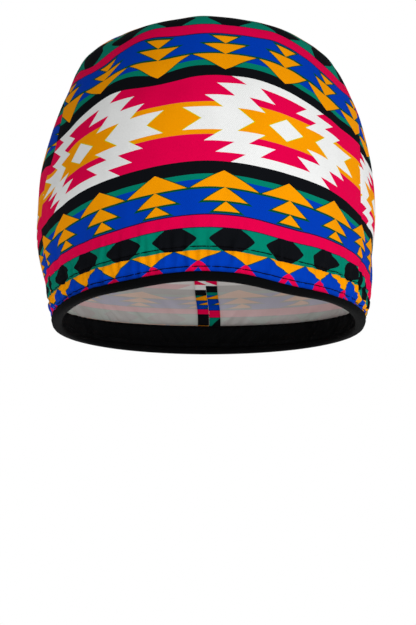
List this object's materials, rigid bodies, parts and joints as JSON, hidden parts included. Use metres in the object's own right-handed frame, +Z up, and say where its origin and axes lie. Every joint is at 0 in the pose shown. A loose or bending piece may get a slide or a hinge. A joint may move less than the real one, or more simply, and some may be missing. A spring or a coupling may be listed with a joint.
{
  "type": "scrub cap",
  "caption": "Soft scrub cap of thin printed cloth with a front panel, back panels, a bound hem and an inner sweat band.",
  "frame": {"origin": "centre of the head opening, half way between the brow and the nape of the hem, where the cap sits on a head", "axes": "+Z up through the crown, -Y towards the brow, +X towards the wearer's left side"},
  "size_m": [0.1805, 0.1985, 0.1716],
  "materials": {
    "printed_cloth": "smooth twill of thin polyester with a bright geometric print",
    "binding_cloth": "matt black bias binding",
    "band_cloth": "matt black knitted band"
  },
  "bodies": {
    "root": {"front_panel": "printed_cloth", "right_panel": "printed_cloth", "left_panel": "printed_cloth", "hem_binding": "binding_cloth", "sweat_band": "band_cloth"}
  },
  "joints": []
}
